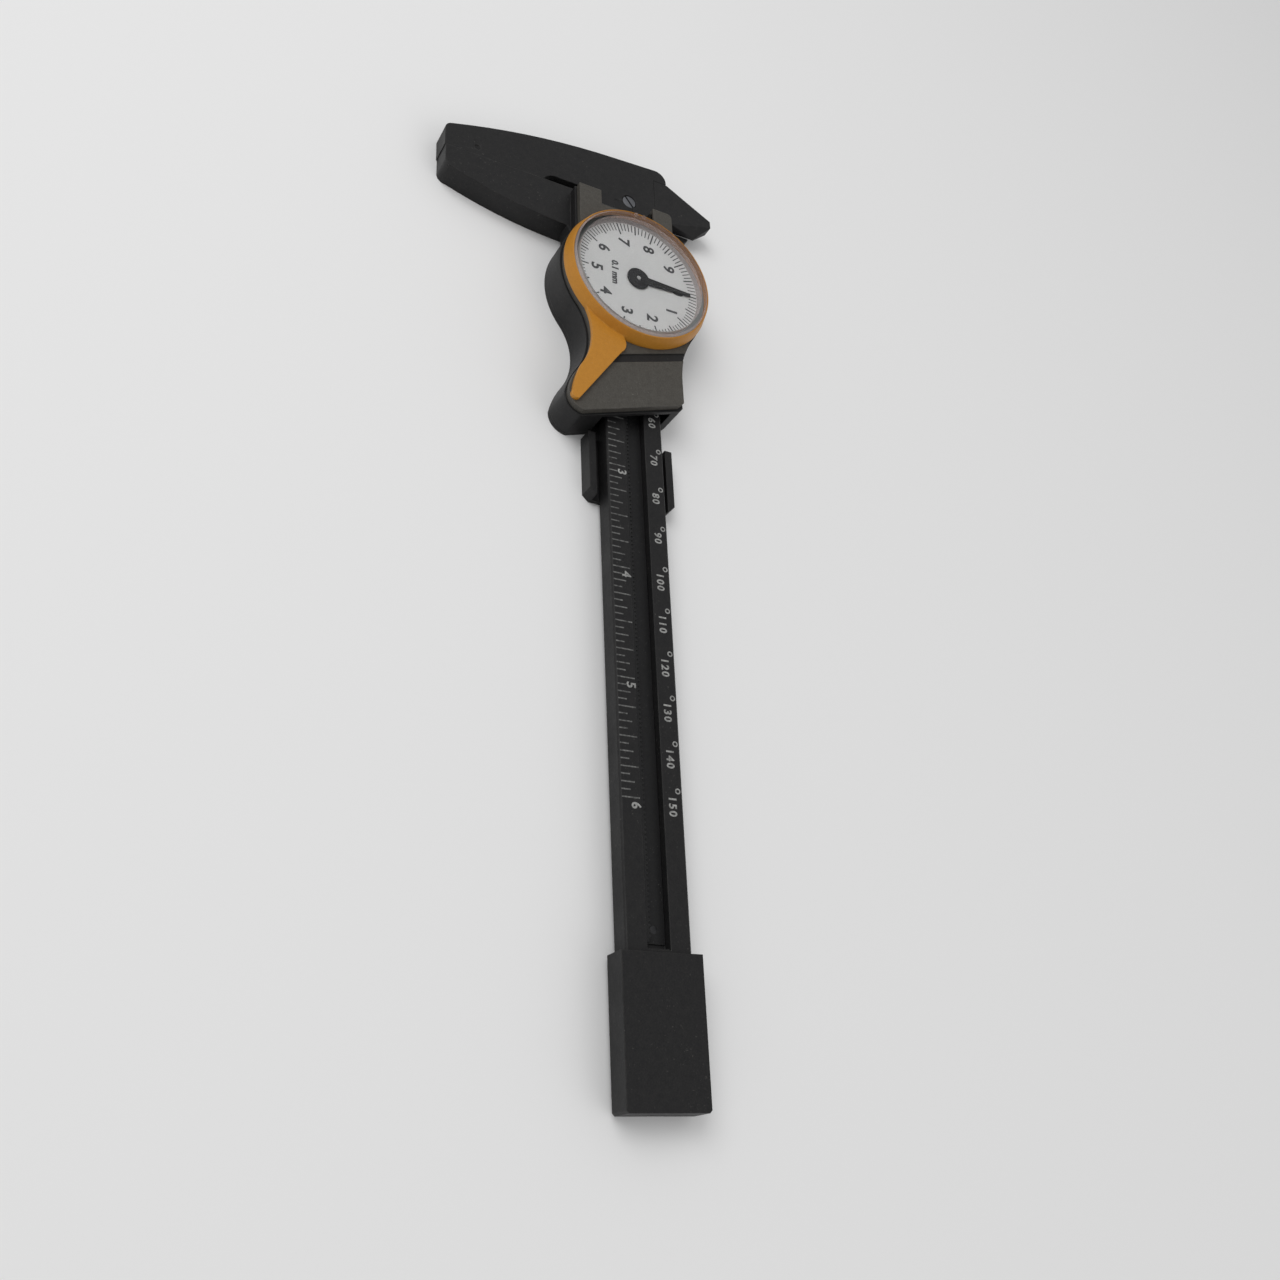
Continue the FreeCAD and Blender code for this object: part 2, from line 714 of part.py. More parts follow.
def gib_spring():
    back = -beam_half - gib_thickness - slide_gap / 2 - gib_spring_gap
    middle_x = gib_start + gib_length / 2
    half = gib_length / 2 - gib_spring_end
    crown = back - gib_spring_bow
    thin = gib_spring_thickness
    return outline((middle_x - half, back - thin), [
        ((middle_x, crown - thin), (middle_x + half, back - thin)),
        (middle_x + half, back),
        ((middle_x, crown), (middle_x - half, back)),
        (middle_x - half, back - thin),
    ], gib_low + gib_spring_side, gib_low + gib_height - gib_spring_side)


def plate_screw_places():
    front_high = (guide_half + body_side) / 2
    rear_high = (rear_half + body_side) / 2
    front_low = -(guide_half + body_front_side) / 2 - plate_screw_outward
    rear_low = -(rear_half + waist_y) / 2
    return [(plate_screw_front_x, front_high), (plate_screw_rear_x, rear_high),
            (plate_screw_front_x, front_low), (plate_screw_rear_x, rear_low)]


def slider_back_plate():
    start, steps = body_path(0)
    plate = outline(start, steps, 0, back_plate_thickness)
    neck = box(body_rear - tail_gap - neck_overlap, tail_start + cut_margin, -neck_half, neck_half,
               0, back_plate_thickness)
    rear = plate.cut(box(body_rear - tail_gap, body_rear + cut_margin, -neck_half, body_side + cut_margin,
                         -cut_margin, back_plate_thickness + cut_margin))
    tail = prism([(tail_start, -tail_half), (tail_end - tail_chamfer, -tail_half),
                  (tail_end, -tail_half + tail_chamfer), (tail_end, tail_half - tail_chamfer),
                  (tail_end - tail_chamfer, tail_half), (tail_start, tail_half)],
                 0, back_plate_thickness + tail_wall_height)
    tail = tail.cut(box(tail_start - cut_margin, tail_end + cut_margin, -rear_half, rear_half,
                        back_plate_thickness, back_plate_thickness + tail_wall_height + cut_margin))
    shape = rear.fuse(neck).fuse(tail)
    shape = shape.cut(rod(rod_rivet_r, rod_rivet_x, 0, -cut_margin, back_plate_thickness + cut_margin))
    for x, y in plate_screw_places():
        shape = shape.cut(rod(plate_screw_r, x, y, -cut_margin, back_plate_thickness + cut_margin))
        shape = shape.cut(rod(plate_screw_head_r, x, y, -cut_margin, plate_screw_head))
    return shape.removeSplitter()


def back_plate_screws():
    screws = []
    for x, y in plate_screw_places():
        head = rod(plate_screw_head_r, x, y, plate_screw_sink, plate_screw_head)
        slot = box(x - plate_screw_head_r, x + plate_screw_head_r, y - plate_screw_slot / 2,
                   y + plate_screw_slot / 2, 0, plate_screw_slot_depth)
        shank = rod(plate_screw_r, x, y, plate_screw_head - fuse_overlap,
                    back_plate_thickness + plate_screw_reach - press_hole_end)
        screws.append(head.cut(slot).fuse(shank))
    return Part.makeCompound(screws)


def slider_cover():
    start, steps = body_path(cover_inset)
    shell = outline(start, steps, frame_top, cover_upper)
    start, steps = body_path(cover_inset + cover_wall)
    front_x = start[0] + cover_wall
    side_y = steps[-3][1]
    space = outline((front_x, start[1]), steps[:-3] + [(front_x, side_y), (front_x, start[1])],
                    frame_top - cut_margin, cover_ceiling)
    shell = shell.cut(space)
    shell = shell.cut(box(frame_front - cut_margin, frame_front + notch_depth, notch_low_y, notch_high_y,
                          frame_top - cut_margin, cover_upper + cut_margin))
    shell = shell.fuse(box(frame_front + notch_depth, frame_front + notch_depth + cover_wall,
                           notch_low_y - cut_margin, notch_high_y + cut_margin, frame_top, cover_upper))
    shell = shell.cut(rod(bridge_radius + bridge_gap, dial_x, 0, frame_top - cut_margin,
                          cover_upper + cut_margin))
    groove = prism(groove_outline(0), frame_top - cut_margin, cover_upper + cut_margin)
    return shell.cut(groove).removeSplitter()


def bezel_ring():
    inner = bezel_top_radius - bezel_lip
    bore = bridge_radius + bridge_gap
    ring = turned([(bore, cover_upper), (bezel_base_radius, cover_upper),
                   (bezel_base_radius, cover_upper + bezel_foot_height),
                   (bezel_top_radius, bezel_upper - bezel_edge_bevel),
                   (bezel_top_radius - bezel_edge_bevel, bezel_upper),
                   (inner, bezel_upper), (inner, bezel_ledge), (bore, bezel_ledge)], dial_x, 0)
    reach = bezel_base_radius - tail_rim_inset
    rim_low = on_circle(dial_x, 0, reach, math.radians(tail_rim_low_deg))
    rim_leave = on_circle(dial_x, 0, reach, math.radians(tail_rim_leave_deg))
    rim_high = on_circle(dial_x, 0, reach, math.radians(tail_rim_high_deg))
    hook_point = (hook_start_x, -(hook_start_y - tail_edge_inset))
    tip_low, tip_end, tip_high = tail_tip_points
    rear_x = dial_x + bezel_base_radius
    inner_low, inner_middle, inner_high = [(rear_x + x, y) for x, y in tail_inner_offsets]
    hook_middle = ((hook_point[0] + tip_low[0]) / 2, (hook_point[1] + tip_low[1]) / 2 - hook_bulge)
    tail = outline(rim_low, [
        ((dial_x, -reach), rim_leave),
        ((waist_x, -(waist_y - tail_edge_inset)), hook_point),
        (hook_middle, tip_low),
        (tip_end, tip_high),
        inner_low,
        (inner_middle, inner_high),
        rim_high,
        (dial_x + bore + tail_root, 0),
        (dial_x, -bore - tail_root),
        rim_low,
    ], cover_upper, cover_upper + tail_raise)
    tail = tail.cut(rod(inner, dial_x, 0, bezel_ledge, bezel_upper))
    tail = tail.cut(rod(bore, dial_x, 0, cover_upper - cut_margin, bezel_upper))
    return ring.fuse(tail).removeSplitter()


def crystal():
    bevel = crystal_edge_bevel
    cup = turned([(0, crystal_under), (dial_view_radius, crystal_under),
                  (dial_view_radius, face_top), (face_radius, face_top),
                  (face_radius, crystal_top - bevel), (face_radius - bevel, crystal_top),
                  (0, crystal_top)], dial_x, 0)
    for offset in (-1, 1):
        angle = math.radians(nub_direction_deg + offset * nub_spread_deg / 2)
        x, y = on_circle(dial_x, 0, face_radius - nub_inset, angle)
        cup = cup.fuse(rod(nub_radius, x, y, crystal_top - bevel, crystal_top + nub_height))
    return cup


def dial_face():
    plate = rod(face_radius, dial_x, 0, face_bottom, face_top)
    return plate.cut(rod(staff_radius + dial_hole_gap, dial_x, 0, face_bottom - cut_margin,
                         face_top + cut_margin))


def pointer():
    half = pointer_root_width / 2
    hub = rod(pointer_hub_radius, dial_x, 0, pointer_bottom, pointer_top)
    needle = prism([(dial_x - half, 0), (dial_x + half, 0),
                    (dial_x + pointer_tip_width / 2, pointer_length),
                    (dial_x - pointer_tip_width / 2, pointer_length)],
                   pointer_bottom, pointer_top)
    hole = rod(pointer_bore_radius, dial_x, 0, pointer_bottom - cut_margin, pointer_top + cut_margin)
    return hub.fuse(needle).cut(hole).removeSplitter()


def pinion_staff():
    addendum = pinion_addendum_share * module
    dedendum = pinion_dedendum_share * module
    profile = gear_profile(pinion_teeth, dial_x, 0, addendum, dedendum, pinion_phase)
    lower = prism(profile, pinion_bottom, pinion_bottom + pinion_height)
    upper = prism(profile, wheel_bottom - pinion_overhang, wheel_top + pinion_overhang)
    shaft = rod(staff_radius, dial_x, 0, pinion_bottom, bridge_top + staff_above_bridge)
    end = rod(staff_end_radius, dial_x, 0, bridge_top, pointer_top + staff_above_pointer)
    return lower.fuse(upper).fuse(shaft).fuse(end)


def lower_bush():
    tube = rod(bush_radius, dial_x, 0, guide_roof, frame_top)
    return tube.cut(rod(staff_radius + running_gap, dial_x, 0, guide_roof - cut_margin,
                        frame_top + cut_margin))


def upper_bush():
    tube = rod(bush_radius, dial_x, 0, bridge_bottom, bridge_top)
    return tube.cut(rod(staff_radius + running_gap, dial_x, 0, bridge_bottom - cut_margin,
                        bridge_top + cut_margin))


def movement_bridge():
    plate = rod(bridge_radius, dial_x, 0, bridge_bottom, bridge_top)
    plate = plate.cut(rod(bush_radius, dial_x, 0, bridge_bottom - cut_margin, bridge_top + cut_margin))
    for angle in pillar_angles:
        x, y = on_circle(dial_x, 0, pillar_circle, math.radians(angle))
        plate = plate.cut(rod(bridge_screw_r, x, y, bridge_bottom - cut_margin, bridge_top + cut_margin))
    return plate


def bridge_screws():
    screws = []
    for angle in pillar_angles:
        x, y = on_circle(dial_x, 0, pillar_circle, math.radians(angle))
        head = rod(bridge_screw_head_r, x, y, bridge_top, bridge_top + bridge_screw_head)
        slot = box(x - bridge_screw_head_r, x + bridge_screw_head_r, y - bridge_screw_slot / 2,
                   y + bridge_screw_slot / 2,
                   bridge_top + bridge_screw_head - bridge_screw_slot_depth, bridge_top + cut_margin)
        shank = rod(bridge_screw_r, x, y, bridge_bottom - bridge_screw_depth + press_hole_end,
                    bridge_top + fuse_overlap)
        screws.append(head.cut(slot).fuse(shank))
    return Part.makeCompound(screws)


def take_up_wheel():
    addendum = rack_addendum_share * module
    dedendum = dedendum_share * module
    facing = wheel_direction + math.pi
    phase = facing + math.pi / wheel_teeth
    rim = prism(gear_profile(wheel_teeth, wheel_x, wheel_y, addendum, dedendum, phase),
                wheel_bottom, wheel_top)
    for k in range(wheel_hole_count):
        angle = k * 2 * math.pi / wheel_hole_count
        x, y = on_circle(wheel_x, wheel_y, wheel_hole_circle, angle)
        rim = rim.cut(rod(wheel_hole_radius, x, y, wheel_bottom - cut_margin, wheel_top + cut_margin))
    hub = rod(wheel_hub_radius, wheel_x, wheel_y, wheel_bottom, cover_ceiling - wheel_end_gap)
    return rim.fuse(hub).cut(rod(post_radius + running_gap, wheel_x, wheel_y,
                                 wheel_bottom - cut_margin, cover_ceiling + cut_margin))


def take_up_post():
    return rod(post_radius, wheel_x, wheel_y, frame_top - post_depth, cover_ceiling - post_end_gap)


def hairspring_end():
    radius = hairspring_first + hairspring_turns * hairspring_pitch
    return on_circle(wheel_x, wheel_y, radius, 0)


def hairspring():
    inner = []
    outer = []
    steps = hairspring_turns * hairspring_steps
    for i in range(steps + 1):
        angle = 2 * math.pi * i / hairspring_steps
        radius = hairspring_first + hairspring_pitch * i / hairspring_steps
        inner.append(on_circle(wheel_x, wheel_y, radius - hairspring_width / 2, angle))
        outer.append(on_circle(wheel_x, wheel_y, radius + hairspring_width / 2, angle))
    upper = cover_ceiling - wheel_end_gap
    return prism(outer + inner[::-1], upper - hairspring_height, upper)


def hairspring_stud():
    x, y = hairspring_end()
    x += hairspring_width / 2 + stud_radius
    return rod(stud_radius, x, y, cover_ceiling - wheel_end_gap - hairspring_height, cover_ceiling)


nodes = {
    "beam": beam,
    "rack_strip": rack_strip,
    "rack_screw": rack_screw,
    "rack_rivet": rack_rivet,
    "end_foot": end_foot,
    "foot_pins": foot_pins,
    "slider_frame": slider_frame,
    "slider_back_plate": slider_back_plate,
    "back_plate_screws": back_plate_screws,
    "slider_cover": slider_cover,
    "bezel_ring": bezel_ring,
    "gib_strip": gib_strip,
    "gib_spring": gib_spring,
    "depth_rod": depth_rod,
    "depth_rod_rivet": depth_rod_rivet,
    "lower_bush": lower_bush,
    "upper_bush": upper_bush,
    "movement_bridge": movement_bridge,
    "bridge_screws": bridge_screws,
    "take_up_post": take_up_post,
    "hairspring": hairspring,
    "hairspring_stud": hairspring_stud,
    "take_up_wheel": take_up_wheel,
    "pinion_staff": pinion_staff,
    "pointer": pointer,
    "dial_face": dial_face,
    "crystal": crystal,
}

os.makedirs("parts", exist_ok=True)
for name, make in nodes.items():
    shape = make()
    shape.exportStep("parts/" + name + ".step")
    box_of = shape.BoundBox
    print(name, len(shape.Solids), shape.isValid(), round(shape.Volume, 2),
          [round(v, 2) for v in (box_of.XMin, box_of.XMax, box_of.YMin, box_of.YMax,
                                 box_of.ZMin, box_of.ZMax)])
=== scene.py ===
import bpy
import bmesh
import math
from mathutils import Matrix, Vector


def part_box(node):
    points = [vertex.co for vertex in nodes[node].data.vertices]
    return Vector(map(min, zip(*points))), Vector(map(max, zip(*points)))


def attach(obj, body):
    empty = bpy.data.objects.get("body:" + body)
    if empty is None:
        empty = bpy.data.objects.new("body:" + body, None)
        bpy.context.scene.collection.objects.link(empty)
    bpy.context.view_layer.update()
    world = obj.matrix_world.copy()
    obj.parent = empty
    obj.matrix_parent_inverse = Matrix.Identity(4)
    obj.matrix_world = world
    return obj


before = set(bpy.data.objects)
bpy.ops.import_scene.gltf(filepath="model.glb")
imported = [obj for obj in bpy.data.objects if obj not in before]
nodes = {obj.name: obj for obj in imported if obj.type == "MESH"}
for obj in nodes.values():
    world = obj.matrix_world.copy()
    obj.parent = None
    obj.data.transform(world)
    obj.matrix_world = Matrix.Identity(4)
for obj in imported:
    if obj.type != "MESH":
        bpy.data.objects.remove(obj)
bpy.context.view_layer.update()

mm = 0.001
print("frame loaded:", len(nodes), "parts")

# Heights and the centre that the printed scales are set on, read from the parts
faceLow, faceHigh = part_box("dial_face")
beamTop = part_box("beam")[1].z
faceTop = faceHigh.z
dialCentre = Vector(((faceLow.x + faceHigh.x) / 2, (faceLow.y + faceHigh.y) / 2, faceTop))


def makeGroup(name, inputs, outputs):
    group = bpy.data.node_groups.new(name, "ShaderNodeTree")
    for label, value in inputs.items():
        socket = group.interface.new_socket(
            name=label, in_out="INPUT", socket_type="NodeSocketFloat")
        socket.default_value = value
    for label in outputs:
        group.interface.new_socket(
            name=label, in_out="OUTPUT", socket_type="NodeSocketFloat")
    return group, group.nodes.new("NodeGroupInput"), group.nodes.new("NodeGroupOutput")


def addNode(tree, kind, **settings):
    node = tree.nodes.new(kind)
    for name, value in settings.items():
        setattr(node, name, value)
    return node


def mathNode(tree, operation, first, second=None, clamp=False):
    node = addNode(tree, "ShaderNodeMath", operation=operation, use_clamp=clamp)
    for index, value in enumerate((first, second)):
        if value is None:
            continue
        if isinstance(value, (int, float)):
            node.inputs[index].default_value = value
        else:
            tree.links.new(value, node.inputs[index])
    return node.outputs[0]


def noiseNode(tree, scale, detail, roughness=0.5, vector=None):
    node = addNode(tree, "ShaderNodeTexNoise")
    if isinstance(scale, (int, float)):
        node.inputs["Scale"].default_value = scale
    else:
        tree.links.new(scale, node.inputs["Scale"])
    node.inputs["Detail"].default_value = detail
    node.inputs["Roughness"].default_value = roughness
    place = vector or addNode(tree, "ShaderNodeTexCoord").outputs["Object"]
    tree.links.new(place, node.inputs["Vector"])
    return node.outputs["Fac"]


def rangeNode(tree, value, low, high, newLow=0.0, newHigh=1.0):
    node = addNode(tree, "ShaderNodeMapRange")
    tree.links.new(value, node.inputs["Value"])
    ends = {"From Min": low, "From Max": high, "To Min": newLow, "To Max": newHigh}
    for label, number in ends.items():
        if isinstance(number, (int, float)):
            node.inputs[label].default_value = number
        else:
            tree.links.new(number, node.inputs[label])
    return node.outputs["Result"]


# The pitted skin that a spark-worn mould leaves on plastic: fine pits over broader ones
grainLook = {
    "inputs": {"Scale": 3500.0, "Depth": 1.0}, "fineDetail": 3, "fineRoughness": 0.6,
    "fineShare": 0.7, "coarseScale": 0.21, "coarseDetail": 2, "coarseShare": 0.3,
    "shadeLow": 0.35, "shadeHigh": 0.65,
}


def buildMouldedGrain(look):
    group, start, end = makeGroup("mouldedGrain", look["inputs"], ("Height", "Shade"))
    fine = noiseNode(group, start.outputs["Scale"], look["fineDetail"], look["fineRoughness"])
    coarseScale = mathNode(group, "MULTIPLY", start.outputs["Scale"], look["coarseScale"])
    coarse = noiseNode(group, coarseScale, look["coarseDetail"])
    finePart = mathNode(group, "MULTIPLY", fine, look["fineShare"])
    coarsePart = mathNode(group, "MULTIPLY", coarse, look["coarseShare"])
    both = mathNode(group, "ADD", finePart, coarsePart)
    height = mathNode(group, "MULTIPLY", both, start.outputs["Depth"])
    group.links.new(height, end.inputs["Height"])
    shade = rangeNode(group, both, look["shadeLow"], look["shadeHigh"])
    group.links.new(shade, end.inputs["Shade"])
    return group


# Paler edges where hands and pockets rub: where the rounded normal leaves the true one
wearLook = {
    "inputs": {"Radius": 0.0003, "Amount": 1.0}, "samples": 4, "flatDot": 0.995, "edgeDot": 0.86,
    "patchScale": 260.0, "patchDetail": 4, "patchRoughness": 0.65,
    "patchLow": 0.42, "patchHigh": 0.62,
}


def buildEdgeWear(look):
    group, start, end = makeGroup("edgeWear", look["inputs"], ("Mask",))
    bevel = addNode(group, "ShaderNodeBevel", samples=look["samples"])
    group.links.new(start.outputs["Radius"], bevel.inputs["Radius"])
    geometry = addNode(group, "ShaderNodeNewGeometry")
    dot = addNode(group, "ShaderNodeVectorMath", operation="DOT_PRODUCT")
    group.links.new(bevel.outputs["Normal"], dot.inputs[0])
    group.links.new(geometry.outputs["Normal"], dot.inputs[1])
    edge = rangeNode(group, dot.outputs["Value"], look["flatDot"], look["edgeDot"])
    noise = noiseNode(group, look["patchScale"], look["patchDetail"], look["patchRoughness"])
    patches = rangeNode(group, noise, look["patchLow"], look["patchHigh"])
    mask = mathNode(group, "MULTIPLY", edge, patches)
    scaled = mathNode(group, "MULTIPLY", mask, start.outputs["Amount"], True)
    group.links.new(scaled, end.inputs["Mask"])
    return group


# Uneven shine from handling, with faint dust in it
handlingLook = {
    "inputs": {"Scale": 90.0, "Amount": 1.0}, "smudgeDetail": 5, "smudgeRoughness": 0.6,
    "smudgeLow": 0.38, "smudgeHigh": 0.66, "speckScale": 22.0, "speckDetail": 2,
    "speckRoughness": 0.7, "speckLow": 0.66, "speckHigh": 0.76,
}


def buildHandling(look):
    group, start, end = makeGroup("handling", look["inputs"], ("Smudge", "Dust"))
    amount = start.outputs["Amount"]
    wide = noiseNode(group, start.outputs["Scale"], look["smudgeDetail"], look["smudgeRoughness"])
    smudge = rangeNode(group, wide, look["smudgeLow"], look["smudgeHigh"])
    group.links.new(mathNode(group, "MULTIPLY", smudge, amount), end.inputs["Smudge"])
    speckScale = mathNode(group, "MULTIPLY", start.outputs["Scale"], look["speckScale"])
    specks = noiseNode(group, speckScale, look["speckDetail"], look["speckRoughness"])
    speckMask = rangeNode(group, specks, look["speckLow"], look["speckHigh"])
    dust = mathNode(group, "MULTIPLY", speckMask, smudge)
    group.links.new(mathNode(group, "MULTIPLY", dust, amount), end.inputs["Dust"])
    return group


# Fine parallel lines of turned, drawn or brushed metal: noise squeezed along X and Z
toolLinesLook = {"inputs": {"Scale": 900.0, "Stretch": 14.0}, "detail": 4, "roughness": 0.6}


def buildToolLines(look):
    group, start, end = makeGroup("toolLines", look["inputs"], ("Lines",))
    split = addNode(group, "ShaderNodeSeparateXYZ")
    join = addNode(group, "ShaderNodeCombineXYZ")
    group.links.new(addNode(group, "ShaderNodeTexCoord").outputs["Object"], split.inputs[0])
    for axis in ("X", "Z"):
        squeezed = mathNode(group, "MULTIPLY", split.outputs[axis], start.outputs["Stretch"])
        group.links.new(squeezed, join.inputs[axis])
    group.links.new(split.outputs["Y"], join.inputs["Y"])
    lines = noiseNode(
        group, start.outputs["Scale"], look["detail"], look["roughness"], join.outputs[0])
    group.links.new(lines, end.inputs["Lines"])
    return group


mouldedGrain = buildMouldedGrain(grainLook)
edgeWear = buildEdgeWear(wearLook)
handling = buildHandling(handlingLook)
toolLines = buildToolLines(toolLinesLook)
print("shared effects built")


def startMaterial(name):
    material = bpy.data.materials.new(name)
    material.use_nodes = True
    tree = material.node_tree
    return material, tree, tree.nodes["Principled BSDF"]


def placeGroup(tree, group, **values):
    node = addNode(tree, "ShaderNodeGroup", node_tree=group)
    for label, value in values.items():
        node.inputs[label].default_value = value
    return node


# The mix node's colour sockets share their names with its number sockets, so they go by place
firstColour = 6
secondColour = 7
mixedColour = 2


def mixColours(tree, factor, first, second):
    node = addNode(tree, "ShaderNodeMix", data_type="RGBA")
    tree.links.new(factor, node.inputs[0])
    for index, value in ((firstColour, first), (secondColour, second)):
        if isinstance(value, tuple):
            node.inputs[index].default_value = (*value, 1.0)
        else:
            tree.links.new(value, node.inputs[index])
    return node.outputs[mixedColour]


roundingSamples = 6


# Surface relief, over corners that are shaded round where rounding is given
def addBump(tree, shader, height, distance, rounding=0.0):
    bump = addNode(tree, "ShaderNodeBump")
    bump.inputs["Distance"].default_value = distance
    tree.links.new(height, bump.inputs["Height"])
    if rounding:
        soft = addNode(tree, "ShaderNodeBevel", samples=roundingSamples)
        soft.inputs["Radius"].default_value = rounding
        tree.links.new(soft.outputs["Normal"], bump.inputs["Normal"])
    tree.links.new(bump.outputs["Normal"], shader.inputs["Normal"])


# Every moulded plastic here differs only in these values
def plasticMaterial(name, look):
    material, tree, shader = startMaterial(name)
    grain = placeGroup(tree, mouldedGrain, Scale=look["grainScale"], Depth=1.0)
    wear = placeGroup(tree, edgeWear, Radius=look["wearRadius"], Amount=look["wearAmount"])
    touch = placeGroup(tree, handling, Scale=look["touchScale"], Amount=look["touchAmount"])
    base = mixColours(tree, grain.outputs["Shade"], look["dark"], look["light"])
    worn = mixColours(tree, wear.outputs["Mask"], base, look["worn"])
    dusty = mixColours(tree, touch.outputs["Dust"], worn, look["dust"])
    tree.links.new(dusty, shader.inputs["Base Color"])
    polished = look["roughness"] - look["polish"]
    rough = rangeNode(tree, touch.outputs["Smudge"], 0.0, 1.0, look["roughness"], polished)
    tree.links.new(rough, shader.inputs["Roughness"])
    addBump(tree, shader, grain.outputs["Height"], look["bump"], look["rounding"])
    shader.inputs["Specular IOR Level"].default_value = look["specular"]
    return material


# What all the metals share: small worn edges, and fingerprints that dull the surface
metalWearRadius = 0.00012
metalTouchScale = 320.0
metalTouchAmount = 0.8
metalDulling = 0.14


def metalMaterial(name, look):
    material, tree, shader = startMaterial(name)
    lines = placeGroup(tree, toolLines, Scale=look["lineScale"], Stretch=look["stretch"])
    wear = placeGroup(tree, edgeWear, Radius=metalWearRadius, Amount=look["wearAmount"])
    touch = placeGroup(tree, handling, Scale=metalTouchScale, Amount=metalTouchAmount)
    base = mixColours(tree, lines.outputs["Lines"], look["dark"], look["light"])
    worn = mixColours(tree, wear.outputs["Mask"], base, look["worn"])
    tree.links.new(worn, shader.inputs["Base Color"])
    shader.inputs["Metallic"].default_value = 1.0
    dulled = look["roughness"] + metalDulling
    rough = rangeNode(tree, touch.outputs["Smudge"], 0.0, 1.0, look["roughness"], dulled)
    tree.links.new(rough, shader.inputs["Roughness"])
    addBump(tree, shader, lines.outputs["Lines"], look["bump"])
    return material


blackPlasticLook = {
    "dark": (0.007, 0.007, 0.0078), "light": (0.0155, 0.015, 0.015), "worn": (0.05, 0.048, 0.045),
    "dust": (0.12, 0.115, 0.105), "grainScale": 3300.0, "bump": 0.00005, "roughness": 0.56,
    "polish": 0.14, "specular": 0.28, "rounding": 0.0003, "wearRadius": 0.00035, "wearAmount": 0.6,
    "touchScale": 85.0, "touchAmount": 0.8,
}
greyPlasticLook = {
    "dark": (0.052, 0.048, 0.041), "light": (0.078, 0.073, 0.064), "worn": (0.15, 0.14, 0.125),
    "dust": (0.24, 0.23, 0.21), "grainScale": 3800.0, "bump": 0.00005, "roughness": 0.6,
    "polish": 0.12, "specular": 0.3, "rounding": 0.0003, "wearRadius": 0.0003, "wearAmount": 0.6,
    "touchScale": 110.0, "touchAmount": 0.7,
}
rackPlasticLook = {
    "dark": (0.0075, 0.0075, 0.008), "light": (0.015, 0.015, 0.0155), "worn": (0.045, 0.044, 0.042),
    "dust": (0.14, 0.135, 0.125), "grainScale": 4600.0, "bump": 0.00003, "roughness": 0.5,
    "polish": 0.12, "specular": 0.25, "rounding": 0.0001, "wearRadius": 0.0002, "wearAmount": 0.7,
    "touchScale": 140.0, "touchAmount": 0.8,
}
yellowPlasticLook = {
    "dark": (0.44, 0.185, 0.018), "light": (0.52, 0.225, 0.024), "worn": (0.66, 0.36, 0.09),
    "dust": (0.55, 0.42, 0.26), "grainScale": 5200.0, "bump": 0.00002, "roughness": 0.45,
    "polish": 0.12, "specular": 0.32, "rounding": 0.0002, "wearRadius": 0.00025, "wearAmount": 0.5,
    "touchScale": 130.0, "touchAmount": 0.5,
}
dialWhiteLook = {
    "dark": (0.42, 0.42, 0.415), "light": (0.46, 0.46, 0.452), "worn": (0.52, 0.52, 0.51),
    "dust": (0.42, 0.41, 0.39), "grainScale": 2600.0, "bump": 0.00001, "roughness": 0.5,
    "polish": 0.1, "specular": 0.4, "rounding": 0.0, "wearRadius": 0.0001, "wearAmount": 0.2,
    "touchScale": 70.0, "touchAmount": 0.25,
}
nylonLook = {
    "dark": (0.6, 0.58, 0.53), "light": (0.7, 0.68, 0.63), "worn": (0.75, 0.73, 0.7),
    "dust": (0.4, 0.38, 0.35), "grainScale": 2400.0, "bump": 0.00002, "roughness": 0.45,
    "polish": 0.1, "specular": 0.45, "rounding": 0.0001, "wearRadius": 0.0002, "wearAmount": 0.3,
    "touchScale": 120.0, "touchAmount": 0.5,
}
pointerLook = {
    "dark": (0.009, 0.009, 0.01), "light": (0.016, 0.016, 0.017), "worn": (0.05, 0.05, 0.05),
    "dust": (0.08, 0.08, 0.08), "grainScale": 4200.0, "bump": 0.00001, "roughness": 0.45,
    "polish": 0.08, "specular": 0.15, "rounding": 0.0001, "wearRadius": 0.0001, "wearAmount": 0.25,
    "touchScale": 240.0, "touchAmount": 0.4,
}
whiteInkLook = {
    "dark": (0.16, 0.16, 0.155), "light": (0.4, 0.4, 0.39), "worn": (0.12, 0.12, 0.115),
    "dust": (0.06, 0.06, 0.06), "grainScale": 2600.0, "bump": 0.00002, "roughness": 0.62,
    "polish": 0.1, "specular": 0.35, "rounding": 0.0, "wearRadius": 0.0001, "wearAmount": 0.5,
    "touchScale": 150.0, "touchAmount": 0.9,
}
faintInkLook = {
    "dark": (0.03, 0.03, 0.03), "light": (0.19, 0.19, 0.185), "worn": (0.03, 0.03, 0.03),
    "dust": (0.03, 0.03, 0.03), "grainScale": 1500.0, "bump": 0.00002, "roughness": 0.62,
    "polish": 0.1, "specular": 0.3, "rounding": 0.0, "wearRadius": 0.0001, "wearAmount": 0.4,
    "touchScale": 260.0, "touchAmount": 1.0,
}
blackInkLook = {
    "dark": (0.02, 0.021, 0.023), "light": (0.05, 0.051, 0.054), "worn": (0.1, 0.1, 0.1),
    "dust": (0.2, 0.2, 0.2), "grainScale": 3200.0, "bump": 0.00001, "roughness": 0.55,
    "polish": 0.08, "specular": 0.4, "rounding": 0.0, "wearRadius": 0.0001, "wearAmount": 0.3,
    "touchScale": 200.0, "touchAmount": 0.3,
}
steelLook = {
    "dark": (0.42, 0.42, 0.42), "light": (0.68, 0.675, 0.66), "worn": (0.8, 0.8, 0.79),
    "lineScale": 900.0, "stretch": 9.0, "roughness": 0.27, "bump": 0.000015, "wearAmount": 0.6,
}
